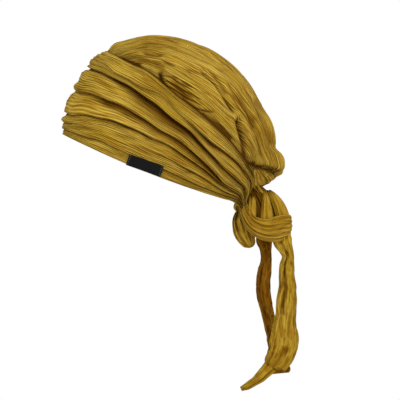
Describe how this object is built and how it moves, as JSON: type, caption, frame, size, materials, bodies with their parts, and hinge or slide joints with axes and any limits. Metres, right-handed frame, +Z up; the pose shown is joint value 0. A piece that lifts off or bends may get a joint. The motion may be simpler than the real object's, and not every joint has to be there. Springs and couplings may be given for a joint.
{
  "type": "bandana cap",
  "caption": "Slouchy crinkled cotton bandana cap with a ruched brow band, a full gathered crown, a knot at the nape and hanging tails.",
  "frame": {"origin": "middle of the head opening, half way from the brow to the nape and centred left to right", "axes": "+X towards the wearer's left, where the label is, -Y towards the brow, +Z up"},
  "size_m": [0.1578, 0.2554, 0.3861],
  "materials": {
    "gauze": "crinkled cotton gauze, mustard, matt",
    "gauze_shade": "the same gauze where it lies in shade",
    "label_tape": "bare black woven tape, matt"
  },
  "bodies": {
    "root": {"band": "gauze", "crown": "gauze", "knot_folds": "gauze", "knot_wrap": "gauze", "knot_end": "gauze", "tail_near": "gauze", "tail_far": "gauze_shade", "label": "label_tape"}
  },
  "joints": []
}
